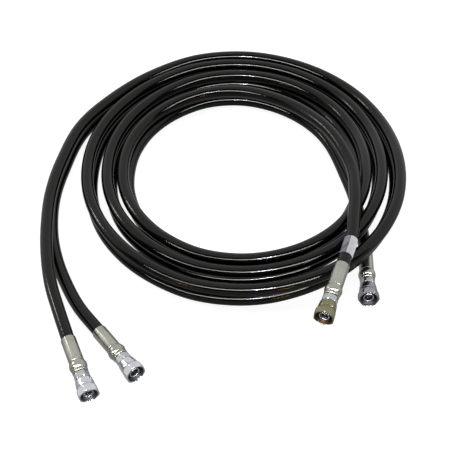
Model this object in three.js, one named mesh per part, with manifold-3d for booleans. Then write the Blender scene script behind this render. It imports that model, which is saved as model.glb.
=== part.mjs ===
// Two crimped hydraulic hose assemblies, wound together in one open coil. Millimetres, +Z up.
import * as THREE from "three";
import Module from "manifold-3d";
import { mergeVertices } from "three/addons/utils/BufferGeometryUtils.js";

const wasm = await Module();
wasm.setup();

// ---- Sizes -------------------------------------------------------------------------------------
// Layers of the hose wall, outside in. Each layer is clear of the next by a thin gap.
const HOSE_R = 6.5;
const COVER = { outer: HOSE_R, inner: 5.4, sides: 8 };
const BRAID = { outer: 4.78, inner: 4.4, sides: 6 };
const LINER = { outer: 4.05, inner: 3.25, sides: 6 };
const CRIMPED_R = 6.0; // the cover's outside under the crimped ferrule
const HOSE_IN_FERRULE = 26.5;
const LAYER_GAP = 0.45; // between the hose that lies on the surface and the one on top of it
const LOW_Z = HOSE_R;
const HIGH_Z = LOW_Z + 2 * HOSE_R + LAYER_GAP;

// Lengths along a fitting, from the mouth of the ferrule to the open face of the nut.
const FITTING_LENGTH = 66;
const NUT_BACK = 48.4;
const FIXED_HEX_BACK = 41.2;
const FIXED_HEX_FRONT = 47.8;
const FIXED_HEX_FLATS = 14;
const NUT_FLATS = 19;
const WIRE_AT = 52.1;
const ROUND = 12; // sides of a turned part

// ---- Route of the coil -------------------------------------------------------------------------
// The coil's centre from the part's origin, which is under the middle of the whole part.
const COIL_X = 0.85;
const COIL_Y = 58.76;
const DEG_PER_STEP = 20;
const DEG_PER_KEY = 45;
const COIL_END_DEG = 1240;

// Radius of each hose at every eighth of a turn, clockwise from the left, one turn to a line.
const UPPER_RADII = [
  176.1, 165, 180.4, 183.5, 182.3, 186, 180.3, 159.5,
  147.3, 151, 165.2, 168.5, 164.1, 164, 156.8, 138,
  125.8, 130, 145.5, 150, 147.2, 148.1, 140.3, 121.4,
  109, 109.8, 115.3, 114.5, 124.9,
];
const LOWER_RADII = [
  175, 166.8, 182.4, 183, 179, 181.5, 180.5, 159,
  143, 149, 166, 166, 161, 161, 155, 136.5,
  122, 127.5, 147, 146, 141, 143, 137.5, 117,
  104, 107, 118.4, 120.8, 123.1,
];

// Where the lower hose leaves the coil it runs underneath, so the other strands climb over it.
const CLIMB = 16;
const CLIMB_UP = [148, 196];
const CLIMB_DOWN = [228, 286];
const CLIMB_LEAN = 0.93; // how far a climbing strand leans to the front, for each unit it climbs
const LAST_RISE = 2 * HOSE_R + LAYER_GAP + CLIMB; // the upper hose's own end goes over them all
const LAST_RISE_DEG = [1105, 1262];
const CLIMB_LAST_DEG = 1140;

// Straight and curved ends, as points from the coil's centre.
const UPPER_START = [
  [-148.4, -239.3, 16.6], [-160.5, -205, 18.4], [-171, -172, 19.4], [-178.3, -134, HIGH_Z],
  [-182.3, -94, HIGH_Z], [-182.8, -48, HIGH_Z],
];
const UPPER_END = [
  [129.5, -33, 47.4], [130.6, -76, 49.3], [127.1, -108, 49.5], [122.6, -138.5, 49.5],
  [111.1, -175.5, 49.5],
];
const LOWER_START = [
  [-121.1, -222.5, 7.8], [-142.5, -192, 6.7], [-158.5, -160, LOW_Z], [-171, -126, LOW_Z],
  [-178.7, -90, LOW_Z], [-181, -46, LOW_Z],
];
const LOWER_END = [
  [129.7, -13, LOW_Z], [136.4, -48, LOW_Z], [139.8, -84, 6.7], [140.6, -120.5, 7.6],
];
// Each fitting: the middle of its nut's open face, and how far one flat of the nut and of the
// fixed hexagon leans over from straight up, in degrees, to the left of someone facing the nut.
const FITTINGS = {
  upper_left: { face: [-124.4, -300.5, 11.4], nutRoll: 17, stemRoll: -20 },
  upper_right: { face: [89.9, -237.9, 46], nutRoll: -27, stemRoll: 20 },
  lower_left: { face: [-83.1, -276.3, 11.6], nutRoll: 18, stemRoll: 24 },
  lower_right: { face: [138.6, -186.3, 12.5], nutRoll: -3, stemRoll: 5 },
};

// ---- Materials ---------------------------------------------------------------------------------
const paint = (color, metalness, roughness) =>
  new THREE.MeshStandardMaterial({ color, metalness, roughness });
const MATERIALS = {
  cover: paint(0x17181a, 0, 0.35),
  braid: paint(0xb9b28e, 0, 0.8),
  liner: paint(0x2c2f33, 0, 0.5),
  ferrule: paint(0xb7b8ac, 1, 0.35),
  stem: paint(0xc4c6c8, 1, 0.3),
  nut: paint(0xc6c8ca, 1, 0.28),
  nutYellow: paint(0x8f8d6e, 1, 0.3),
  nutDull: paint(0x7c7d80, 1, 0.32),
  wire: paint(0x9a9c9e, 1, 0.35),
  sleeve: paint(0xe4e6ea, 0, 0.4),
  film: paint(0xd9dce8, 0, 0.1),
};

// ---- Helpers -----------------------------------------------------------------------------------
const part = new THREE.Group();
part.name = "hydraulic_hose_pair";

function add(name, geometry, material) {
  const mesh = new THREE.Mesh(geometry, material);
  mesh.name = name;
  part.add(mesh);
}

function solid(geometry) {
  const bare = new THREE.BufferGeometry();
  bare.setAttribute("position", geometry.getAttribute("position").clone());
  if (geometry.index) bare.setIndex(geometry.index.clone());
  const merged = mergeVertices(bare, 1e-4);
  const mesh = new wasm.Mesh({
    numProp: 3,
    vertProperties: new Float32Array(merged.attributes.position.array),
    triVerts: new Uint32Array(merged.index.array),
  });
  return new wasm.Manifold(mesh);
}

function geometryOf(body) {
  const mesh = body.getMesh();
  const geometry = new THREE.BufferGeometry();
  geometry.setAttribute("position", new THREE.BufferAttribute(new Float32Array(mesh.vertProperties), 3));
  geometry.setIndex(new THREE.BufferAttribute(new Uint32Array(mesh.triVerts), 1));
  return geometry;
}

// A turned ring or shaft about Y from a closed [radius, height] outline, listed anticlockwise.
function turned(outline, sides = ROUND) {
  const points = [...outline, outline[0]].map(([r, y]) => new THREE.Vector2(r, y));
  return new THREE.LatheGeometry(points, sides);
}

// A hexagonal bar along Y between two heights.
function hexBar(flats, low, high) {
  const r = flats / Math.sqrt(3);
  const bar = new THREE.CylinderGeometry(r, r, high - low, 6);
  bar.translate(0, (low + high) / 2, 0);
  return bar;
}

const smooth = (x, a, b) => THREE.MathUtils.smoothstep(x, a, b);

// Catmull-Rom value between keys, with the ends carried on in a straight line.
function keyed(keys, at) {
  const last = keys.length - 1;
  const i = Math.min(Math.floor(at), last - 1);
  const t = at - i;
  const key = (j) => {
    if (j < 0) return 2 * keys[0] - keys[1];
    if (j > last) return 2 * keys[last] - keys[last - 1];
    return keys[j];
  };
  const [a, b, c, d] = [key(i - 1), key(i), key(i + 1), key(i + 2)];
  const bend = (2 * a - 5 * b + 4 * c - d) * t * t + (-a + 3 * b - 3 * c + d) * t * t * t;
  return 0.5 * (2 * b + (c - a) * t + bend);
}

// Height that a strand climbs, from its angle clockwise from the left.
function climb(deg) {
  if (deg > CLIMB_LAST_DEG) return 0;
  const turn = deg % 360;
  return CLIMB * smooth(turn, ...CLIMB_UP) * (1 - smooth(turn, ...CLIMB_DOWN));
}

function coilPoint(radii, deg, base, isUpper) {
  const radius = keyed(radii, deg / DEG_PER_KEY);
  const angle = THREE.MathUtils.degToRad(180 - deg);
  const lift = climb(deg) + (isUpper ? LAST_RISE * smooth(deg, ...LAST_RISE_DEG) : 0);
  const y = radius * Math.sin(angle) - CLIMB_LEAN * lift;
  return [radius * Math.cos(angle), y, base + lift];
}

function route(start, radii, base, isUpper, end) {
  const points = [...start];
  for (let deg = 0; deg <= COIL_END_DEG; deg += DEG_PER_STEP) {
    points.push(coilPoint(radii, deg, base, isUpper));
  }
  points.push(...end);
  return points.map(([x, y, z]) => new THREE.Vector3(x + COIL_X, y + COIL_Y, z));
}

// ---- Hose --------------------------------------------------------------------------------------
// Rings along a route: centre, direction and whether the ring is under a ferrule.
function hoseRings(points, startAxis, endAxis) {
  const rings = [];
  const first = points[0];
  const last = points[points.length - 1];
  const along = (from, axis, d) => from.clone().addScaledVector(axis, d);
  const inward = startAxis.clone().negate();
  rings.push({ at: along(first, startAxis, HOSE_IN_FERRULE), dir: inward, crimped: true });
  rings.push({ at: along(first, startAxis, 0.4), dir: inward, crimped: true });
  rings.push({ at: along(first, startAxis, -1.2), dir: inward, crimped: false });
  for (let i = 1; i < points.length - 1; i += 1) {
    const before = points[i].clone().sub(points[i - 1]).normalize();
    const after = points[i + 1].clone().sub(points[i]).normalize();
    rings.push({ at: points[i], dir: before.add(after).normalize(), crimped: false });
  }
  rings.push({ at: along(last, endAxis, -1.2), dir: endAxis, crimped: false });
  rings.push({ at: along(last, endAxis, 0.4), dir: endAxis, crimped: true });
  rings.push({ at: along(last, endAxis, HOSE_IN_FERRULE), dir: endAxis, crimped: true });
  return rings;
}

// A closed tube through the rings. Every layer uses the same corners, so the gaps stay even.
function hoseLayer(rings, { outer, inner, sides }) {
  const up = new THREE.Vector3(0, 0, 1);
  const spots = [];
  rings.forEach(({ at, dir, crimped }) => {
    const side = new THREE.Vector3().crossVectors(dir, up).normalize();
    const top = new THREE.Vector3().crossVectors(side, dir).normalize();
    const outside = crimped ? Math.min(outer, CRIMPED_R) : outer;
    [outside, inner].forEach((radius) => {
      for (let k = 0; k < sides; k += 1) {
        const a = (2 * Math.PI * k) / sides;
        const spot = at.clone();
        spot.addScaledVector(side, radius * Math.cos(a)).addScaledVector(top, radius * Math.sin(a));
        spots.push(spot.x, spot.y, spot.z);
      }
    });
  });
  const faces = [];
  const quad = (a, b, c, d) => faces.push(a, b, c, a, c, d);
  const stride = 2 * sides;
  for (let k = 0; k < sides; k += 1) {
    const next = (k + 1) % sides;
    for (let i = 0; i < rings.length - 1; i += 1) {
      const here = i * stride;
      const there = here + stride;
      quad(here + k, there + k, there + next, here + next);
      quad(here + sides + k, here + sides + next, there + sides + next, there + sides + k);
    }
    const end = (rings.length - 1) * stride;
    quad(k, next, sides + next, sides + k);
    quad(end + k, end + sides + k, end + sides + next, end + next);
  }
  const geometry = new THREE.BufferGeometry();
  geometry.setAttribute("position", new THREE.Float32BufferAttribute(spots, 3));
  geometry.setIndex(faces);
  return geometry;
}

// ---- Fitting, about Y, from the ferrule's mouth at 0 to the nut's open face ----------------------
function ferrule() {
  return turned([
    [6.35, 0], [7.1, 0], [7.4, 0.6], [7.4, 27.5], [7.8, 28.7], [8.5, 30.8], [8.7, 32.7],
    [8.4, 34.7], [7.6, 36.3], [7.1, 36.9], [7.7, 37.9], [7.7, 39.2], [6.9, 40.4], [4.75, 40.4],
    [4.75, 38.7], [6.35, 38.7],
  ]);
}

function stem() {
  const barbs = [];
  for (let y = 4; y < 22; y += 6.5) {
    barbs.push([2.35, y], [2.6, y + 0.4], [2.35, y + 5]);
  }
  const shaft = turned([
    [1.7, 1.5], [2.2, 1.5], ...barbs, [2.35, 26.8], [5.6, 27.6], [5.6, 38.2], [4.35, 38.2],
    [4.35, 41.5], [5.0, 41.5], [5.0, 53], [6.5, 53], [6.5, 56.2], [5.3, 63.5], [5.05, 64],
    [4.2, 64], [3.6, 54], [1.7, 51],
  ]);
  const bar = hexBar(FIXED_HEX_FLATS, FIXED_HEX_BACK, FIXED_HEX_FRONT);
  const through = new THREE.CylinderGeometry(4.6, 4.6, 8, ROUND);
  through.translate(0, 44.5, 0);
  return geometryOf(solid(bar).subtract(solid(through)).add(solid(shaft)));
}

function nut() {
  const bar = solid(hexBar(NUT_FLATS, NUT_BACK, FITTING_LENGTH));
  const blank = solid(turned([
    [0.5, NUT_BACK], [7.8, NUT_BACK], [8.35, 49.6], [9.05, 55.7], [8.7, 56.3], [8.75, 57.1],
    [9.75, 58.6], [10.97, 62], [10.97, 65], [10.25, FITTING_LENGTH], [0.5, FITTING_LENGTH],
  ], 24));
  const bore = solid(turned([
    [0.4, 47], [5.4, 47], [5.4, 51.2], [7.05, 51.2], [7.05, 56], [7.45, 56.4], [7.45, 64.2],
    [8.3, FITTING_LENGTH], [8.3, 68], [0.4, 68],
  ]));
  const core = new THREE.CylinderGeometry(1, 1, 30, ROUND);
  core.translate(0, 57, 0);
  return geometryOf(bar.intersect(blank).subtract(bore).subtract(solid(core)));
}

function retainingWire() {
  const across = 0.6;
  const radius = 6.02;
  const outline = [];
  for (let k = 0; k < 6; k += 1) {
    const a = (k * Math.PI) / 3;
    outline.push([radius + across * Math.cos(a), WIRE_AT + across * Math.sin(a)]);
  }
  return turned(outline);
}

const FITTING_PIECES = { ferrule: ferrule(), stem: stem(), nut: nut(), retaining_wire: retainingWire() };
const PIECE_MATERIALS = {
  ferrule: MATERIALS.ferrule,
  stem: MATERIALS.stem,
  retaining_wire: MATERIALS.wire,
};
const NUT_MATERIALS = { upper_right: MATERIALS.nutYellow, lower_right: MATERIALS.nutDull };

// Moves from a piece's own Y axis to an axis of the part. Local X is to the left of someone who
// faces the piece's front, and local Z is down.
function placeOn(mouth, axis) {
  const left = new THREE.Vector3().crossVectors(axis, new THREE.Vector3(0, 0, 1)).normalize();
  const down = new THREE.Vector3().crossVectors(left, axis);
  return new THREE.Matrix4().makeBasis(left, axis, down).setPosition(mouth);
}

function addFitting(name, mouth, axis) {
  const { nutRoll, stemRoll } = FITTINGS[name];
  const rolls = { nut: nutRoll, stem: stemRoll };
  const place = placeOn(mouth, axis);
  for (const [piece, geometry] of Object.entries(FITTING_PIECES)) {
    // The hexagons are made with a corner straight down.
    const turn = piece in rolls ? THREE.MathUtils.degToRad(30 - rolls[piece]) : 0;
    const placed = geometry.clone().rotateY(turn).applyMatrix4(place);
    const material = PIECE_MATERIALS[piece] ?? NUT_MATERIALS[name] ?? MATERIALS.nut;
    add(`${name}_${piece}`, placed, material);
  }
}

// ---- Assembly ----------------------------------------------------------------------------------
function axisFrom(mouth, fitting) {
  const [x, y, z] = FITTINGS[fitting].face;
  return new THREE.Vector3(x + COIL_X, y + COIL_Y, z).sub(mouth).normalize();
}

function addHose(name, points) {
  const [first, last] = [points[0], points[points.length - 1]];
  const startAxis = axisFrom(first, `${name}_left`);
  const endAxis = axisFrom(last, `${name}_right`);
  const rings = hoseRings(points, startAxis, endAxis);
  add(`${name}_hose_cover`, hoseLayer(rings, COVER), MATERIALS.cover);
  add(`${name}_hose_braid`, hoseLayer(rings, BRAID), MATERIALS.braid);
  add(`${name}_hose_liner`, hoseLayer(rings, LINER), MATERIALS.liner);
  addFitting(`${name}_left`, first, startAxis);
  addFitting(`${name}_right`, last, endAxis);
}

// Wrap-round sleeve and its clear film, on the straight stretch before the upper right ferrule.
function addLabel(points) {
  const mouth = points[points.length - 1];
  const back = points[points.length - 2].clone().sub(mouth).normalize();
  const place = placeOn(mouth, back);
  const sleeve = turned([[6.8, 12], [7.1, 12], [7.1, 35], [6.8, 35]]);
  const film = turned([[7.32, 13], [7.5, 13], [7.5, 29], [7.32, 29]]);
  add("upper_label_sleeve", sleeve.applyMatrix4(place), MATERIALS.sleeve);
  add("upper_label_film", film.applyMatrix4(place), MATERIALS.film);
}

const upper = route(UPPER_START, UPPER_RADII, HIGH_Z, true, UPPER_END);
const lower = route(LOWER_START, LOWER_RADII, LOW_Z, false, LOWER_END);
addHose("upper", upper);
addHose("lower", lower);
addLabel(upper);

export default part;
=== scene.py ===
import math

import bpy
import numpy as np
from mathutils import Matrix, Vector


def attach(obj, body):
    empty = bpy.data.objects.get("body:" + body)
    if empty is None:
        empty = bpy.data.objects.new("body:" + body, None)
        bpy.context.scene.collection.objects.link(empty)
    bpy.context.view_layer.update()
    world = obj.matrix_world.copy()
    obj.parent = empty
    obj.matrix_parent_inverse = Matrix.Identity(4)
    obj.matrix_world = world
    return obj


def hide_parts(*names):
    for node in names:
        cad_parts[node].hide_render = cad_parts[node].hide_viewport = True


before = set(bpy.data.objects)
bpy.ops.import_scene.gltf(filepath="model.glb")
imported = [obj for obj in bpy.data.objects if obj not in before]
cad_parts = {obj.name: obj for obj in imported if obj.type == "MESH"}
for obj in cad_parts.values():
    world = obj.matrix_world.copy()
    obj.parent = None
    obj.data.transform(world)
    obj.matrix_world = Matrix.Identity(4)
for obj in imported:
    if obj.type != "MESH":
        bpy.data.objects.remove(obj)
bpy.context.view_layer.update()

BODY = "hoses"
UP = Vector((0, 0, 1))

# ---- The route of the two hoses: the same points as the CAD part, in millimetres --------------------
MM = 0.001
HOSE_R = 6.5
BRAID_R = 4.75
LINER_R = 4.0
CRIMPED_R = 6.0         # the cover's outside under the crimped ferrule
INSIDE_FERRULE = 25     # how far a hose goes into its ferrule
LAYER_GAP = 0.45        # between the hose that lies on the surface and the one on top of it
LOW_Z = HOSE_R
HIGH_Z = LOW_Z + 2 * HOSE_R + LAYER_GAP
# The coil's centre from the part's origin.
COIL_X = 0.85
COIL_Y = 58.76
DEG_PER_STEP = 20
DEG_PER_KEY = 45
COIL_END_DEG = 1240
SPAN_STEPS = 16         # fine steps of the curve between two points of a route
HOSE_SPACING = 3.5      # between two rings of a hose's mesh
COVER_SIDES = 22

# Radius of each hose at every eighth of a turn, clockwise from the left.
UPPER_RADII = [
    176.1, 165, 180.4, 183.5, 182.3, 186, 180.3, 159.5,
    147.3, 151, 165.2, 168.5, 164.1, 164, 156.8, 138,
    125.8, 130, 145.5, 150, 147.2, 148.1, 140.3, 121.4,
    109, 109.8, 115.3, 114.5, 124.9,
]
LOWER_RADII = [
    175, 166.8, 182.4, 183, 179, 181.5, 180.5, 159,
    143, 149, 166, 166, 161, 161, 155, 136.5,
    122, 127.5, 147, 146, 141, 143, 137.5, 117,
    104, 107, 118.4, 120.8, 123.1,
]
# Where the lower hose leaves the coil it runs underneath, so the other strands climb over it.
CLIMB = 16
CLIMB_UP = (148, 196)
CLIMB_DOWN = (228, 286)
CLIMB_LEAN = 0.93       # how far a climbing strand leans to the front, for each unit it climbs
CLIMB_LAST_DEG = 1140
# The upper hose's own end goes over them all.
LAST_RISE = 2 * HOSE_R + LAYER_GAP + CLIMB
LAST_RISE_DEG = (1105, 1262)

# The ends outside the coil, as points from its centre.
UPPER_START = [
    (-148.4, -239.3, 16.6), (-160.5, -205, 18.4), (-171, -172, 19.4), (-178.3, -134, HIGH_Z),
    (-182.3, -94, HIGH_Z), (-182.8, -48, HIGH_Z),
]
UPPER_END = [
    (129.5, -33, 47.4), (130.6, -76, 49.3), (127.1, -108, 49.5), (122.6, -138.5, 49.5),
    (111.1, -175.5, 49.5),
]
LOWER_START = [
    (-121.1, -222.5, 7.8), (-142.5, -192, 6.7), (-158.5, -160, LOW_Z), (-171, -126, LOW_Z),
    (-178.7, -90, LOW_Z), (-181, -46, LOW_Z),
]
LOWER_END = [
    (129.7, -13, LOW_Z), (136.4, -48, LOW_Z), (139.8, -84, 6.7), (140.6, -120.5, 7.6),
]
# Each fitting: the middle of its nut's open face, and how far one flat of the nut and of the fixed
# hexagon leans over from straight up, in degrees, to the right of someone facing the nut.
FITTINGS = {
    "upper_left": {"face": (-124.4, -300.5, 11.4), "nut_roll": 17, "stem_roll": -20},
    "upper_right": {"face": (89.9, -237.9, 46), "nut_roll": -27, "stem_roll": 20},
    "lower_left": {"face": (-83.1, -276.3, 11.6), "nut_roll": 18, "stem_roll": 24},
    "lower_right": {"face": (138.6, -186.3, 12.5), "nut_roll": -3, "stem_roll": 5},
}


def smooth(x, a, b):
    """0 up to a, 1 from b on, and an even curve between them."""
    t = min(max((x - a) / (b - a), 0), 1)
    return t * t * (3 - 2 * t)


def catmull_rom(a, b, c, d, t):
    bend = (2 * a - 5 * b + 4 * c - d) * t * t + (-a + 3 * b - 3 * c + d) * t * t * t
    return 0.5 * (2 * b + (c - a) * t + bend)


def keyed(keys, at):
    """Catmull-Rom value between keys; the ends carry on in a straight line."""
    last = len(keys) - 1
    i = min(int(at), last - 1)

    def key(j):
        if j < 0:
            return 2 * keys[0] - keys[1]
        if j > last:
            return 2 * keys[last] - keys[last - 1]
        return keys[j]

    return catmull_rom(key(i - 1), key(i), key(i + 1), key(i + 2), at - i)


def climb(deg):
    """Height that a strand climbs, from its angle clockwise from the left."""
    if deg > CLIMB_LAST_DEG:
        return 0
    turn = deg % 360
    return CLIMB * smooth(turn, *CLIMB_UP) * (1 - smooth(turn, *CLIMB_DOWN))


def coil_point(radii, deg, base, is_upper):
    """Middle of a strand, in millimetres from the coil's centre."""
    radius = keyed(radii, deg / DEG_PER_KEY)
    angle = math.radians(180 - deg)
    lift = climb(deg) + (LAST_RISE * smooth(deg, *LAST_RISE_DEG) if is_upper else 0)
    return (radius * math.cos(angle), radius * math.sin(angle) - CLIMB_LEAN * lift, base + lift)


def route(start, radii, base, is_upper, end):
    """Points along a hose's middle, in metres."""
    points = list(start)
    for deg in range(0, COIL_END_DEG + 1, DEG_PER_STEP):
        points.append(coil_point(radii, deg, base, is_upper))
    points.extend(end)
    return (np.array(points) + (COIL_X, COIL_Y, 0)) * MM


def spine(points, spacing):
    """Even steps on the smooth curve through the points, kept from sagging below the surface, and the
    curve's length."""
    fine = []
    for i in range(len(points) - 1):
        a = points[i - 1] if i else 2 * points[0] - points[1]
        d = points[i + 2] if i + 2 < len(points) else 2 * points[-1] - points[-2]
        for t in np.linspace(0, 1, SPAN_STEPS, endpoint=False):
            fine.append(catmull_rom(a, points[i], points[i + 1], d, t))
    fine = np.array(fine + [points[-1]])
    fine[:, 2] = np.maximum(fine[:, 2], LOW_Z * MM)
    run = np.concatenate([[0], np.cumsum(np.linalg.norm(np.diff(fine, axis=0), axis=1))])
    at = np.linspace(0, run[-1], max(2, round(run[-1] / spacing)))
    return np.stack([np.interp(at, run, fine[:, k]) for k in range(3)], axis=1), run[-1]


def fitting_axis(mouth, name):
    """Direction from a ferrule's mouth to the middle of its nut's open face."""
    face = (np.array(FITTINGS[name]["face"]) + (COIL_X, COIL_Y, 0)) * MM
    return Vector(face - mouth).normalized()


def place_on(mouth, axis):
    """From a piece's own frame: X to the left of someone facing its front, Y to the front, Z up."""
    left = axis.cross(UP).normalized()
    top = left.cross(axis)
    place = Matrix((left, axis, top)).transposed().to_4x4()
    place.translation = Vector(mouth)
    return place


# ---- Camera ----------------------------------------------------------------------------------------
# Places in metres, and the lens and its sensor in millimetres.
CAMERA_AT = Vector((-0.0002, -0.9221, 0.9392))
LOOK_AT = Vector((-0.0002, -0.0152, 0))
LENS = 100.4
SENSOR_WIDTH = 36


def make_camera():
    data = bpy.data.cameras.new("camera")
    data.lens = LENS
    data.sensor_width = SENSOR_WIDTH
    data.clip_end = 50
    camera = bpy.data.objects.new("camera", data)
    camera.location = CAMERA_AT
    camera.rotation_euler = (LOOK_AT - CAMERA_AT).to_track_quat("-Z", "Y").to_euler()
    bpy.context.scene.collection.objects.link(camera)
    bpy.context.scene.camera = camera


make_camera()


# ---- Shader helpers --------------------------------------------------------------------------------
def rgba(value):
    """A solid colour from three numbers, or from one for a grey."""
    return (*value, 1) if hasattr(value, "__len__") else (value, value, value, 1)


class Shader:
    """A small node-graph writer for one material."""

    def __init__(self, name, **values):
        self.material = bpy.data.materials.new(name)
        self.material.use_nodes = True
        self.tree = self.material.node_tree
        self.bsdf = self.tree.nodes["Principled BSDF"]
        for key, value in values.items():
            self.bsdf.inputs[key.replace("_", " ")].default_value = value

    def node(self, kind, inputs=None, **settings):
        made = self.tree.nodes.new(kind)
        for key, value in settings.items():
            setattr(made, key, value)
        for key, value in (inputs or {}).items():
            self.put(made.inputs[key], value)
        return made

    def put(self, socket, value):
        if isinstance(value, bpy.types.NodeSocket):
            self.tree.links.new(value, socket)
        else:
            socket.default_value = value

    def coords(self, scale=(1, 1, 1), kind="Object"):
        base = self.node("ShaderNodeTexCoord").outputs[kind]
        mapped = self.node("ShaderNodeMapping", {"Vector": base, "Scale": scale})
        return mapped.outputs[0]

    def split(self, vector):
        return self.node("ShaderNodeSeparateXYZ", {"Vector": vector}).outputs

    def noise(self, vector, scale, detail=4, roughness=0.55):
        inputs = {"Vector": vector, "Scale": scale, "Detail": detail, "Roughness": roughness}
        return self.node("ShaderNodeTexNoise", inputs).outputs["Fac"]

    def ramp(self, fac, *stops):
        """A colour ramp. Each stop is (place, value), and a value is three numbers or one grey."""
        made = self.node("ShaderNodeValToRGB", {"Fac": fac})
        elements = made.color_ramp.elements
        elements.remove(elements[-1])
        elements[0].position = stops[0][0]
        for at, _ in stops[1:]:
            elements.new(at)
        for element, (_, value) in zip(elements, stops):
            element.color = rgba(value)
        return made.outputs["Color"]

    def math(self, operation, a, b=0.0):
        return self.node("ShaderNodeMath", {0: a, 1: b}, operation=operation).outputs[0]

    def mix(self, fac, a, b):
        """a where fac is 0 and b where it is 1. Both are colours."""
        made = self.node("ShaderNodeMix", data_type="RGBA")
        self.put(made.inputs["Factor"], fac)
        self.put(made.inputs[6], a)
        self.put(made.inputs[7], b)
        return made.outputs[2]

    def bump(self, height, strength, distance):
        """Adds a bump on top of the ones that are there already."""
        inputs = {"Height": height, "Strength": strength, "Distance": distance}
        if self.bsdf.inputs["Normal"].is_linked:
            inputs["Normal"] = self.bsdf.inputs["Normal"].links[0].from_socket
        made = self.node("ShaderNodeBump", inputs)
        self.tree.links.new(made.outputs[0], self.bsdf.inputs["Normal"])

    def set(self, name, socket):
        self.tree.links.new(socket, self.bsdf.inputs[name])


# ---- Materials -------------------------------------------------------------------------------------
BRAID_STRANDS = 12          # each way round
RING_PITCH = 0.0021         # fine rings across a cover, in metres
MOUTH_R = 0.0086            # a nut's thread lies within this radius, in metres,
MOUTH_FROM = 0.0564         # and from this far along its axis
LABEL_FOIL = 0.46           # share of the way round that is white, from the top over the right
BAND_SLANT = 46             # millimetres that the label's band would move back in a turn
BAND_WAVE = 3               # how far its edges waver, in millimetres
BAND_START = -49            # where its ramp begins, before it slants, and how long the ramp is
BAND_RUN = 40


def braid_waves(shader, turn_length):
    """Strands wound both ways round a hose, each once round in turn_length metres."""
    around, along, _ = shader.split(shader.coords(kind="UV"))
    turns = shader.math("MULTIPLY", around, BRAID_STRANDS)
    steps = shader.math("MULTIPLY", along, BRAID_STRANDS / turn_length)
    waves = []
    for operation in ("ADD", "SUBTRACT"):
        phase = shader.math("MULTIPLY", shader.math(operation, steps, turns), 2 * math.pi)
        waves.append(shader.math("SINE", phase))
    return shader.math("MAXIMUM", *waves)


def cover_material():
    """Smooth black thermoplastic: fine rings across it, and the braid under it as a faint ripple."""
    shader = Shader("hose_cover_black", IOR=1.335, Specular_Tint=(1, 1, 0.93, 1))
    around, along, _ = shader.split(shader.coords(kind="UV"))
    shader.bump(braid_waves(shader, 0.036), 0.1, 0.00012)
    rings = shader.math("SINE", shader.math("MULTIPLY", along, 2 * math.pi / RING_PITCH))
    shader.bump(rings, 0.16, 0.00006)
    broad = shader.noise(shader.coords(), 26, 5)
    black = shader.ramp(broad, (0.4, (0.0028, 0.0028, 0.0027)), (0.7, (0.0048, 0.0046, 0.0044)))
    shader.set("Base Color", black)
    streaks = shader.noise(shader.coords((5, 14, 1), "UV"), 3, 5)
    shader.set("Roughness", shader.ramp(streaks, (0.3, 0.06), (0.75, 0.11)))
    # Painted shade: the underside, next to the seam of the pattern, reflects less, for the shade under
    # the hose.
    from_top = shader.math("ABSOLUTE", shader.math("SUBTRACT", around, 0.5))
    shader.set("Specular IOR Level", shader.ramp(from_top, (0.17, 0.5), (0.3, 0.13)))
    return shader.material


def braid_material():
    """Fibre reinforcement, darker between its strands."""
    shader = Shader("braid_fibre", Sheen_Weight=0.2)
    weave = braid_waves(shader, 0.03)
    shader.set("Base Color", shader.ramp(weave, (0.2, (0.3, 0.27, 0.19)), (0.9, (0.6, 0.56, 0.42))))
    shader.set("Roughness", shader.ramp(weave, (0.0, 0.9), (1.0, 0.7)))
    shader.bump(weave, 0.8, 0.0003)
    return shader.material


def liner_material():
    """Plain dark inner tube."""
    shader = Shader("liner_plastic")
    marks = shader.noise(shader.coords(), 150, 4)
    shader.set("Base Color", shader.ramp(marks, (0.3, 0.02), (0.8, 0.035)))
    shader.set("Roughness", shader.ramp(marks, (0.2, 0.4), (0.8, 0.55)))
    shader.bump(marks, 0.1, 0.0001)
    return shader.material


def mouth_shade_mask(shader):
    """1 on the thread inside a nut's open end and 0 elsewhere, from the piece's own coordinates."""
    x, y, z = shader.split(shader.coords())
    radius_squared = shader.math("ADD", shader.math("MULTIPLY", x, x), shader.math("MULTIPLY", z, z))
    inside = shader.math("LESS_THAN", radius_squared, MOUTH_R * MOUTH_R)
    return shader.math("MULTIPLY", inside, shader.math("GREATER_THAN", y, MOUTH_FROM))


def zinc_material(name, low, high, rough_low, rough_high, along=0.0, mouth=None):
    """Zinc-plated steel between two tints and two roughnesses. along stretches the marks down the
    piece's own Y axis, and mouth is a dark colour painted on the thread inside a nut, as painted shade."""
    shader = Shader(name, Metallic=1.0)
    stretch = (1, 1 / (1 + along), 1)
    lines = shader.noise(shader.coords(stretch), 420, 5, 0.6)
    cloud = shader.noise(shader.coords(), 70, 4)
    both = shader.math("ADD", shader.math("MULTIPLY", lines, 0.5), shader.math("MULTIPLY", cloud, 0.5))
    color = shader.ramp(both, (0.32, low), (0.66, high))
    rough = shader.ramp(both, (0.3, rough_low), (0.7, rough_high))
    if mouth:
        # Painted shade: the thread inside the nut's open end is coloured dark, for the shade in its
        # mouth.
        inside = mouth_shade_mask(shader)
        color = shader.mix(inside, color, rgba(mouth))
        rough = shader.mix(inside, rough, rgba(0.42))
    shader.set("Base Color", color)
    shader.set("Roughness", rough)
    shader.bump(lines, 0.12, 0.0002)
    grain = shader.noise(shader.coords(), 1500, 2)
    shader.bump(grain, 0.06, 0.0001)
    return shader.material


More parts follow.
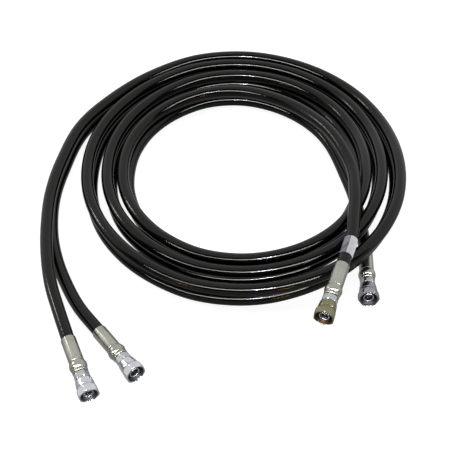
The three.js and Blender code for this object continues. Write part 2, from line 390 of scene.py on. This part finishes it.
def label_material():
    """Blank label: white foil on the right, a plain greyish violet panel with a dark band on the left.
    Its pattern runs around from 0 at the top, over the right, and back in millimetres from the
    ferrule."""
    shader = Shader("label_blank")
    around, back, _ = shader.split(shader.coords(kind="UV"))
    cloud = shader.noise(shader.coords(), 240, 4)
    white = shader.ramp(cloud, (0.3, (0.86, 0.86, 0.88)), (0.7, (0.95, 0.95, 0.96)))
    # The band slants: close to the ferrule on the left, and farther back at the top.
    slant = shader.math("SUBTRACT", back, shader.math("MULTIPLY", around, BAND_SLANT))
    wavy = shader.math("ADD", slant, shader.math("MULTIPLY", cloud, BAND_WAVE))
    at = shader.math("MULTIPLY", shader.math("SUBTRACT", wavy, BAND_START), 1 / BAND_RUN)
    panel = shader.ramp(at, (0.62, (0.19, 0.19, 0.24)), (0.7, (0.05, 0.05, 0.065)),
                        (0.76, (0.09, 0.09, 0.11)), (0.83, (0.3, 0.3, 0.38)))
    side = shader.math("LESS_THAN", around, LABEL_FOIL)
    shader.set("Base Color", shader.mix(side, panel, white))
    shader.set("Roughness", shader.ramp(cloud, (0.3, 0.25), (0.7, 0.42)))
    shader.bump(cloud, 0.25, 0.0006)
    return shader.material


def film_material():
    """Clear film, a little crinkled."""
    shader = Shader("label_film_clear", Alpha=0.06, IOR=1.45)
    cloud = shader.noise(shader.coords((1, 0.4, 1)), 160, 3)
    shader.set("Base Color", shader.ramp(cloud, (0.3, (0.7, 0.7, 0.76)), (0.7, (0.85, 0.85, 0.9))))
    shader.set("Roughness", shader.ramp(cloud, (0.3, 0.05), (0.7, 0.14)))
    shader.bump(cloud, 0.3, 0.0008)
    return shader.material


def floor_material():
    """White sweep, lit from below as well, so that next to no shadow shows on it."""
    shader = Shader("floor_white", Roughness=0.8, Emission_Color=(1, 1, 1, 1), Emission_Strength=0.9)
    cloud = shader.noise(shader.coords(), 3, 2)
    shader.set("Base Color", shader.ramp(cloud, (0.3, 0.42), (0.7, 0.45)))
    return shader.material


MATERIALS = {
    "cover": cover_material(),
    "braid": braid_material(),
    "liner": liner_material(),
    "ferrule": zinc_material("ferrule_zinc", (0.30, 0.30, 0.255), (0.42, 0.42, 0.365), 0.2, 0.33, 9),
    "stem": zinc_material("stem_zinc", (0.4, 0.42, 0.43), (0.54, 0.56, 0.57), 0.15, 0.28),
    # Each nut's mouth colour is painted shade on the thread inside it.
    "nut": zinc_material("nut_bright_zinc", (0.5, 0.51, 0.53), (0.68, 0.69, 0.72), 0.12, 0.24,
                         mouth=(0.055, 0.056, 0.065)),
    # Painted shade: a darker copy of the bright nut finish, for the lower right nut, which lies in shade.
    "nut_dull": zinc_material("nut_shaded_zinc", (0.24, 0.245, 0.255), (0.37, 0.375, 0.39), 0.16, 0.3,
                              mouth=(0.045, 0.046, 0.05)),
    "nut_yellow": zinc_material("nut_yellow_zinc", (0.16, 0.155, 0.085), (0.29, 0.285, 0.18), 0.14, 0.28,
                                mouth=(0.04, 0.025, 0.016)),
    "wire": zinc_material("wire_steel", (0.4, 0.4, 0.41), (0.55, 0.55, 0.56), 0.3, 0.45),
    "label": label_material(),
    "label_film": film_material(),
}


# ---- Mesh helpers ----------------------------------------------------------------------------------
# Edges sharper than this many degrees stay sharp.
SHARP_DEG = 32
NUT_SHARP_DEG = 28
HOSE_SHARP_DEG = 50


def make_object(name, verts, faces, uvs, slot_name, sharp_deg):
    """A mesh object, shaded smooth but for edges sharper than sharp_deg. uvs holds one pair per face
    corner, in face order."""
    mesh = bpy.data.meshes.new(name)
    mesh.from_pydata(verts, [], faces)
    layer = mesh.uv_layers.new(name="UVMap")
    layer.data.foreach_set("uv", np.asarray(uvs, np.float32).ravel())
    mesh.shade_smooth()
    mesh.set_sharp_from_angle(angle=math.radians(sharp_deg))
    mesh.materials.append(MATERIALS[slot_name])
    made = bpy.data.objects.new(name, mesh)
    bpy.context.scene.collection.objects.link(made)
    return made


def grid_faces(rows, sides, closed=False):
    """Quads between rings of vertices, with the corner numbers (row, step) of each. closed also joins
    the last ring to the first."""
    faces = []
    corners = []
    for i in range(rows if closed else rows - 1):
        here = i * sides
        there = ((i + 1) % rows) * sides
        for k in range(sides):
            n = (k + 1) % sides
            faces.append((here + k, there + k, there + n, here + n))
            corners.append(((i, k), (i + 1, k), (i + 1, k + 1), (i, k + 1)))
    return faces, corners


def ring_solid(name, rows, sides, slot_name, sharp_deg=SHARP_DEG):
    """A closed solid about its own Y axis. Each row is (radius or radii round the ring, height) in
    millimetres, and the rows run round the section, forward outside and back along the bore."""
    turn = 2 * math.pi * np.arange(sides) / sides
    verts = []
    for radius, y in rows:
        r = np.broadcast_to(np.asarray(radius, float), (sides,))
        verts.append(np.stack([r * np.sin(turn), np.full(sides, float(y)), r * np.cos(turn)], axis=1))
    verts = np.concatenate(verts) * MM
    faces, corners = grid_faces(len(rows), sides, closed=True)
    uvs = [(k / sides, i / len(rows)) for quad in corners for i, k in quad]
    return make_object(name, verts.tolist(), faces, uvs, slot_name, sharp_deg)


def rounded(outline, cut, steps=3):
    """The outline with each corner replaced by a small arc that starts at most cut away from it."""
    points = [np.array(p, float) for p in outline]
    out = []
    count = len(points)
    for i, p in enumerate(points):
        before = points[i - 1] - p
        after = points[(i + 1) % count] - p
        reach = min(cut, 0.45 * np.linalg.norm(before), 0.45 * np.linalg.norm(after))
        a = p + before / np.linalg.norm(before) * reach
        b = p + after / np.linalg.norm(after) * reach
        for t in np.linspace(0, 1, steps + 1):
            out.append((1 - t) ** 2 * a + 2 * t * (1 - t) * p + t * t * b)
    return [tuple(p) for p in out]


def divided(outline, longest):
    """The same outline with extra points, so that no step is longer than longest."""
    out = []
    for (r0, y0), (r1, y1) in zip(outline, outline[1:]):
        count = max(1, math.ceil(abs(y1 - y0) / longest))
        for t in np.linspace(0, 1, count, endpoint=False):
            out.append((r0 + (r1 - r0) * t, y0 + (y1 - y0) * t))
    out.append(outline[-1])
    return out


# ---- Hoses -----------------------------------------------------------------------------------------
def sweep(name, line, radius, sides, slot_name, mouth_run=0.0, crimped=0.0):
    """A capped tube along a line of points. Within mouth_run of either end it narrows to crimped."""
    line = np.asarray(line)
    step = np.gradient(line, axis=0)
    step /= np.linalg.norm(step, axis=1)[:, None]
    side = np.cross(step, UP)
    side /= np.linalg.norm(side, axis=1)[:, None]
    top = np.cross(side, step)
    run = np.concatenate([[0], np.cumsum(np.linalg.norm(np.diff(line, axis=0), axis=1))])
    from_end = np.minimum(run, run[-1] - run)
    radii = np.where(from_end < mouth_run, crimped, radius)
    # The seam of the pattern is underneath.
    turn = 2 * math.pi * np.arange(sides) / sides - math.pi / 2
    verts = (
        line[:, None]
        + radii[:, None, None] * np.cos(turn)[None, :, None] * side[:, None]
        + radii[:, None, None] * np.sin(turn)[None, :, None] * top[:, None]
    ).reshape(-1, 3)
    rows = len(line)
    faces, corners = grid_faces(rows, sides)
    uvs = [(k / sides, run[i]) for quad in corners for i, k in quad]
    faces = [tuple(reversed(f)) for f in faces]
    uvs = [uv for q in range(len(faces)) for uv in reversed(uvs[4 * q:4 * q + 4])]
    caps = [tuple(range(sides)), tuple(range((rows - 1) * sides, rows * sides))[::-1]]
    for cap in caps:
        faces.append(cap)
        uvs.extend([(k / sides, 0.0) for k in range(sides)])
    return make_object(name, verts.tolist(), faces, uvs, slot_name, HOSE_SHARP_DEG)


def extended(line, start_axis, end_axis):
    """The line carried on straight into the ferrule at both ends."""
    steps = np.linspace(INSIDE_FERRULE * MM, 0, 8)[:-1]
    before = [line[0] + np.array(start_axis) * s for s in steps]
    after = [line[-1] + np.array(end_axis) * s for s in steps[::-1]]
    return np.concatenate([before, line, after])


def make_hose(prefix, points):
    """The three layers of a hose, from inside one ferrule to inside the other."""
    line, length = spine(points, HOSE_SPACING * MM)
    axes = {
        "left": fitting_axis(points[0], f"{prefix}_left"),
        "right": fitting_axis(points[-1], f"{prefix}_right"),
    }
    whole = extended(line, axes["left"], axes["right"])
    # The cover narrows half a millimetre inside the ferrule's mouth.
    mouth_run = (INSIDE_FERRULE - 0.5) * MM
    cover = sweep(f"{prefix}_cover_skin", whole, HOSE_R * MM, COVER_SIDES, "cover", mouth_run,
                  CRIMPED_R * MM)
    layers = {"cover": cover}
    for layer, radius, sides in (("braid", BRAID_R, 12), ("liner", LINER_R, 10)):
        layers[layer] = sweep(f"{prefix}_{layer}_skin", whole[::3], radius * MM, sides, layer)
    for layer, piece in layers.items():
        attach(piece, BODY)
        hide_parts(f"{prefix}_hose_{layer}")
    length += 2 * INSIDE_FERRULE * MM
    return {"cover": cover, "line": line, "path": whole, "length": length, "axes": axes}


# ---- Fittings, in millimetres about their own Y axis, from the ferrule's mouth to the nut's face -----
ROUND = 96              # sides of a ferrule
HEX_SIDES = 120         # sides of a piece with a hexagon
DIE_FLATS = 8
DIE_RIDGE = 0.08        # height of the faint ridge between two die flats
RIDGE_POWER = 14        # the higher, the narrower the ridge
STEM_FLATS = 14
STEM_HEX_AT = 44.5      # middle of the fixed hexagon
NUT_FLATS = 19
CORNER_CUT = 0.35       # how much a hexagon's corner is short of a sharp one
CORNER_EASE = 0.12      # how softly a flat runs into its corner
THREAD_BACK = 56.4
THREAD_FRONT = 65.2
THREAD_R = 7.55         # half-way down the thread
THREAD_DEPTH = 0.6
THREAD_PITCH = 1.5
THREAD_RUN_OUT = 0.8    # length over which the thread fades at either end
PITCH_STEPS = 8         # rows of mesh to one pitch
WIRE_AT = 52.1
WIRE_R = 0.58
WIRE_RING_R = 6.02
# The lower right nut takes the darker copy of the nut finish, which is painted shade.
NUT_SLOTS = {"upper_right": "nut_yellow", "lower_right": "nut_dull"}


def hexagon(flats, roll_deg):
    """Radius round a hexagonal bar whose flat leans roll_deg from straight up to the right of someone
    facing its front, with eased corners."""
    turn = 2 * math.pi * np.arange(HEX_SIDES) / HEX_SIDES
    lean = math.radians(roll_deg)
    # Angle from the nearest flat's middle, where 0 is straight up.
    off = (turn + lean + math.pi / 6) % (math.pi / 3) - math.pi / 6
    radius = (flats / 2) / np.cos(off)
    limit = flats / math.sqrt(3) - CORNER_CUT
    return -CORNER_EASE * np.log(np.exp(-radius / CORNER_EASE) + np.exp(-limit / CORNER_EASE))


def ferrule_rows():
    """Crimped shell: eight die flats with faint ridges between them, a groove, the raised bulge, then
    a waist and the rim in front of it."""
    turn = 2 * math.pi * np.arange(ROUND) / ROUND
    ridge = DIE_RIDGE * (np.abs(np.sin(DIE_FLATS / 2 * turn)) ** RIDGE_POWER - 0.5)
    outline = rounded([
        (6.35, 0), (7.1, 0), (7.4, 0.6), (7.4, 27.3), (7.15, 27.7), (7.2, 28.1), (7.8, 28.6),
        (8.5, 30.8), (8.7, 32.7), (8.4, 34.7), (7.6, 36.2), (7.1, 36.7), (7.1, 37.1), (7.6, 37.6),
        (7.8, 38.5), (7.55, 39.8), (6.9, 40.4), (4.8, 40.4), (4.8, 38.8), (6.35, 38.8),
    ], 0.7, 4)
    rows = []
    for r, y in outline:
        outside = r > 7.3 and 0.9 < y < 27
        rows.append((r + ridge if outside else r, y))
    return rows


def stem_rows(roll_deg):
    """Barbed insert, shoulder, fixed hexagon, neck and the open cone that seals in the mating part."""
    barbs = []
    for y in np.arange(4, 24, 3.25):
        barbs += [(2.35, y), (2.62, y + 0.3), (2.4, y + 2.6)]
    shoulder = [(2.35, 26.8), (5.6, 27.6), (5.6, 38.2), (4.35, 38.2), (4.35, 41.2)]
    back = [(1.7, 1.5), (2.2, 1.5)] + barbs + shoulder
    flat = hexagon(STEM_FLATS, roll_deg)
    edge = [(6.6, 41.2), (7.3, 41.25), (8.2, 41.75), (8.2, 42.3), (8.2, STEM_HEX_AT)]
    mirrored = [(r, 2 * STEM_HEX_AT - y) for r, y in reversed(edge[:-1])]
    hexed = [(np.minimum(flat, r), y) for r, y in edge + mirrored]
    front = rounded([
        (5.0, 47.8), (5.0, 53), (6.5, 53), (6.5, 56.2), (5.3, 63.5), (5.0, 64), (4.25, 64),
        (3.7, 61), (3.6, 54), (1.7, 51),
    ], 0.35)
    return back + hexed + front


def nut_rows(roll_deg):
    """Hexagon turned down at the back, chamfered in front, with a cut thread and a countersunk mouth."""
    flat = hexagon(NUT_FLATS, roll_deg)
    blank = rounded([
        (6.4, 48.4), (7.8, 48.4), (8.35, 49.6), (9.05, 55.7), (8.7, 56.3), (8.75, 57.1), (9.75, 58.6),
        (10.97, 62), (10.97, 65), (10.25, 66), (9.4, 66),
    ], 0.6, 4)
    rows = [(np.minimum(flat, r), y) for r, y in divided(blank, 0.45)]
    rows += [(8.45, 66), (8.3, 65.9)]
    turns = np.arange(HEX_SIDES) / HEX_SIDES
    for y in np.arange(THREAD_FRONT, THREAD_BACK, -THREAD_PITCH / PITCH_STEPS):
        wave = np.abs(((y / THREAD_PITCH - turns) % 1) * 2 - 1)
        from_end = min(THREAD_FRONT - y, y - THREAD_BACK)
        fade = min(1, 0.25 + from_end / THREAD_RUN_OUT)
        # The mouth flares in its last millimetre.
        middle_r = THREAD_R + max(0, y - THREAD_FRONT + 1) / 3
        rows.append((middle_r + THREAD_DEPTH * fade * (wave - 0.5), y))
    rows += [(7.05, 56), (7.05, 51.3), (5.4, 51.2), (5.4, 48.5), (5.6, 48.4)]
    return rows


def make_fitting(name, mouth, axis):
    """The four pieces of a fitting, from its ferrule's mouth along its axis."""
    place = place_on(mouth, axis)
    stem = stem_rows(FITTINGS[name]["stem_roll"])
    nut = nut_rows(FITTINGS[name]["nut_roll"])
    nut_slot = NUT_SLOTS.get(name, "nut")
    made = {
        "ferrule": ring_solid(f"{name}_ferrule_shell", ferrule_rows(), ROUND, "ferrule"),
        "stem": ring_solid(f"{name}_stem_turned", stem, HEX_SIDES, "stem"),
        "nut": ring_solid(f"{name}_nut_hex", nut, HEX_SIDES, nut_slot, NUT_SHARP_DEG),
    }
    ring = [(WIRE_RING_R + WIRE_R * math.cos(a), WIRE_AT + WIRE_R * math.sin(a))
            for a in np.linspace(0, 2 * math.pi, 12, endpoint=False)]
    made["retaining_wire"] = ring_solid(f"{name}_wire_ring", ring, 48, "wire")
    for piece, thing in made.items():
        thing.matrix_world = place
        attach(thing, f"{name}_nut" if piece == "nut" else BODY)
        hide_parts(f"{name}_{piece}")
    return list(made.values())


# ---- Label -----------------------------------------------------------------------------------------
LOOK_BACK = 4           # a sleeve's direction is taken over this length of the hose
LABEL_SIDES = 64
LABEL_STEP = 1.5        # longest step of mesh along the label
# Each part: name, slot, inner and outer radius, and where it begins and ends behind the ferrule.
LABEL_PARTS = (
    ("sleeve", "label", 6.62, 6.8, 12, 35),
    ("film", "label_film", 6.86, 6.98, 13, 29),
)


def sleeve_on(name, line, rows, sides, slot_name):
    """A closed sleeve on a hose. Each row is (radius, distance back from the line's end), in mm."""
    line = np.asarray(line)[::-1]
    run = np.concatenate([[0], np.cumsum(np.linalg.norm(np.diff(line, axis=0), axis=1))])
    turn = 2 * math.pi * np.arange(sides) / sides
    verts = []
    for radius, back in rows:
        at, behind = [np.array([np.interp(b * MM, run, line[:, k]) for k in range(3)])
                      for b in (back, back + LOOK_BACK)]
        step = (behind - at) / np.linalg.norm(behind - at)
        side = np.cross(step, UP)
        side /= np.linalg.norm(side)
        top = np.cross(side, step)
        ring = np.sin(turn)[:, None] * side + np.cos(turn)[:, None] * top
        verts.append(at + radius * MM * ring)
    faces, corners = grid_faces(len(rows), sides, closed=True)
    heights = [back for _, back in rows]
    uvs = []
    for quad in corners:
        first = heights[quad[0][0]]
        after = heights[quad[1][0] % len(rows)]
        uvs += [(k / sides, first if i == quad[0][0] else after) for i, k in quad]
    return make_object(name, np.concatenate(verts).tolist(), faces, uvs, slot_name, SHARP_DEG)


def make_label(hose):
    """Blank sleeve and clear film on the stretch behind the upper right ferrule."""
    made = []
    for name, slot_name, low, high, front, back in LABEL_PARTS:
        section = [(low, front), (high, front), (high, back), (low, back), (low, front)]
        rows = divided(section, LABEL_STEP)[:-1]
        piece = sleeve_on(f"upper_label_{name}_wrap", hose["line"], rows, LABEL_SIDES, slot_name)
        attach(piece, BODY)
        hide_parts(f"upper_label_{name}")
        made.append(piece)
    return made


# ---- Assembly --------------------------------------------------------------------------------------
upper = make_hose("upper", route(UPPER_START, UPPER_RADII, HIGH_Z, True, UPPER_END))
lower = make_hose("lower", route(LOWER_START, LOWER_RADII, LOW_Z, False, LOWER_END))
for prefix, hose in (("upper", upper), ("lower", lower)):
    make_fitting(f"{prefix}_left", hose["line"][0], hose["axes"]["left"])
    ends = make_fitting(f"{prefix}_right", hose["line"][-1], hose["axes"]["right"])
    if prefix == "upper":
        ends += make_label(hose)


# ---- Floor, light and colour -----------------------------------------------------------------------
FLOOR_REACH = 6.0
# Brightness of the room, of its dark part, of the table in reflections and of the room seen directly.
WALL = 0.98
DARK = 0.06
TABLE = 0.5
BACKDROP = 1.05
WHITE = (1, 1, 1)
VIOLET = (0.84, 0.76, 1.0)
WARM = (1.0, 0.45, 0.12)
# Lamps: name, place, width, height, brightness and colour.
LAMPS = (
    ("strip", (0, -1.75, 1.9), 7.0, 0.3, 36, WHITE),
    ("flash", (-0.2, -1.3, 1.4), 0.1, 0.05, 1500, VIOLET),
    ("left_box", (-1.9, 0.67, 1.0), 0.3, 0.4, 16, WHITE),
    ("warm_lamp_left", (-1.65, -1.8, 0.14), 0.1, 0.08, 80, WARM),
    ("warm_lamp_right", (0.42, -1.8, 0.14), 0.1, 0.08, 80, WARM),
)


def make_floor():
    mesh = bpy.data.meshes.new("floor")
    corners = [(x * FLOOR_REACH, y * FLOOR_REACH, 0) for x, y in ((-1, -1), (1, -1), (1, 1), (-1, 1))]
    mesh.from_pydata(corners, [], [(0, 1, 2, 3)])
    mesh.materials.append(floor_material())
    floor = bpy.data.objects.new("floor", mesh)
    bpy.context.scene.collection.objects.link(floor)
    floor.visible_glossy = False


def sheen_light(name, at, width, height, radiance, color):
    """A lamp that shows only as a highlight on shiny surfaces and faces the part's origin."""
    data = bpy.data.lights.new(name, "AREA")
    data.shape = "RECTANGLE"
    data.size = width
    data.size_y = height
    data.energy = radiance * math.pi * width * height
    data.color = color
    light = bpy.data.objects.new(name, data)
    light.location = at
    light.rotation_euler = (-Vector(at)).to_track_quat("-Z", "Y").to_euler()
    light.visible_diffuse = False
    light.visible_camera = False
    bpy.context.scene.collection.objects.link(light)


def make_world():
    """A white room, dark above the horizon on the viewer's side. Below it is what stands in for the
    table in reflections."""
    world = bpy.data.worlds.new("studio")
    world.use_nodes = True
    tree = world.node_tree
    split = tree.nodes.new("ShaderNodeSeparateXYZ")
    tree.links.new(tree.nodes.new("ShaderNodeTexCoord").outputs["Generated"], split.inputs[0])
    _, back, height = split.outputs

    def step(socket, low, high, at_low, at_high):
        made = tree.nodes.new("ShaderNodeMapRange")
        made.interpolation_type = "SMOOTHSTEP"
        tree.links.new(socket, made.inputs["Value"])
        for key, value in zip(("From Min", "From Max", "To Min", "To Max"), (low, high, at_low, at_high)):
            made.inputs[key].default_value = value
        return made.outputs[0]

    front = step(back, -0.24, 0.0, 1, 0)
    above = step(height, 0.0, 0.1, 0, 1)
    dark = tree.nodes.new("ShaderNodeMath")
    dark.operation = "MULTIPLY"
    tree.links.new(front, dark.inputs[0])
    tree.links.new(above, dark.inputs[1])
    room = step(dark.outputs[0], 0, 1, WALL, DARK)
    below = step(height, -0.06, 0.01, TABLE - WALL, 0)
    strength = tree.nodes.new("ShaderNodeMath")
    tree.links.new(room, strength.inputs[0])
    tree.links.new(below, strength.inputs[1])
    # Seen straight on, the room is plain white all round.
    seen = tree.nodes.new("ShaderNodeMix")
    tree.links.new(tree.nodes.new("ShaderNodeLightPath").outputs["Is Camera Ray"], seen.inputs[0])
    tree.links.new(strength.outputs[0], seen.inputs[2])
    seen.inputs[3].default_value = BACKDROP
    background = tree.nodes["Background"]
    background.inputs["Color"].default_value = (0.98, 0.98, 1.0, 1)
    tree.links.new(seen.outputs[0], background.inputs["Strength"])
    bpy.context.scene.world = world


def make_studio():
    make_floor()
    make_world()
    for lamp in LAMPS:
        sheen_light(*lamp)
    bpy.context.scene.view_settings.view_transform = "Standard"


make_studio()
